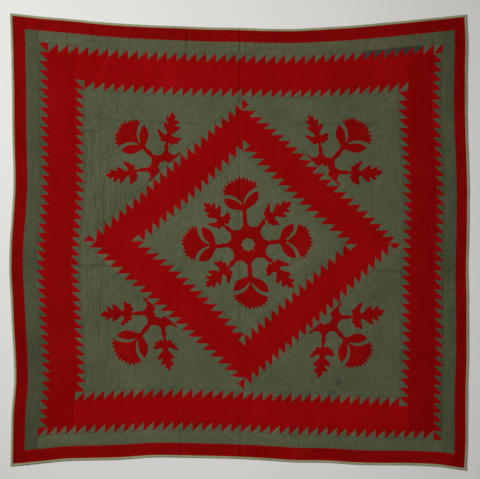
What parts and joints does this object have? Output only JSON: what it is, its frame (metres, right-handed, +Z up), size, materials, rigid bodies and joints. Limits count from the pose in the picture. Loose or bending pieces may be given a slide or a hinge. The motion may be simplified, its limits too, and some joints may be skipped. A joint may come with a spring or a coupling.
{
  "type": "patchwork quilt",
  "caption": "Bed quilt laid flat: pieced red and grey-green sawtooth borders round a diamond on point, with a stitched-on carnation wreath and corner sprays.",
  "frame": {"origin": "middle of the quilt's box, on the surface that it lies on", "axes": "+Z up out of the quilt's face, +Y towards the picture's top edge, +X towards the picture's right edge"},
  "size_m": [2.1362, 2.1212, 0.0042],
  "materials": {
    "wide_red_cloth": "matt red cotton",
    "narrow_red_cloth": "matt red cotton, a shade deeper",
    "green_cloth": "matt faded grey-green cotton",
    "binding_cloth": "matt pale green cotton"
  },
  "bodies": {
    "root": {"binding_left": "binding_cloth", "binding_top": "binding_cloth", "binding_right": "binding_cloth", "binding_bottom": "binding_cloth", "narrow_border_left": "narrow_red_cloth", "narrow_border_top": "narrow_red_cloth", "narrow_border_right": "narrow_red_cloth", "narrow_border_bottom": "narrow_red_cloth", "green_border_left": "green_cloth", "green_border_top": "green_cloth", "green_border_right": "green_cloth", "green_border_bottom": "green_cloth", "outer_teeth_left": "wide_red_cloth", "outer_teeth_top": "wide_red_cloth", "outer_teeth_right": "wide_red_cloth", "outer_teeth_bottom": "wide_red_cloth", "wide_border_left": "wide_red_cloth", "wide_border_top": "wide_red_cloth", "wide_border_right": "wide_red_cloth", "wide_border_bottom": "wide_red_cloth", "inner_teeth_left": "green_cloth", "inner_teeth_top": "green_cloth", "inner_teeth_right": "green_cloth", "inner_teeth_bottom": "green_cloth", "corner_field_top_left": "green_cloth", "corner_field_top_right": "green_cloth", "corner_field_bottom_right": "green_cloth", "corner_field_bottom_left": "green_cloth", "diamond_teeth_top_left": "wide_red_cloth", "diamond_teeth_top_right": "wide_red_cloth", "diamond_teeth_bottom_right": "wide_red_cloth", "diamond_teeth_bottom_left": "wide_red_cloth", "diamond_band_top_left": "wide_red_cloth", "diamond_band_top_right": "wide_red_cloth", "diamond_band_bottom_right": "wide_red_cloth", "diamond_band_bottom_left": "wide_red_cloth", "diamond_inner_teeth_top_left": "green_cloth", "diamond_inner_teeth_top_right": "green_cloth", "diamond_inner_teeth_bottom_right": "green_cloth", "diamond_inner_teeth_bottom_left": "green_cloth", "centre_field": "green_cloth", "wreath_centre": "narrow_red_cloth", "spray_top_left": "narrow_red_cloth", "spray_top_right": "narrow_red_cloth", "spray_bottom_right": "narrow_red_cloth", "spray_bottom_left": "narrow_red_cloth"}
  },
  "joints": []
}
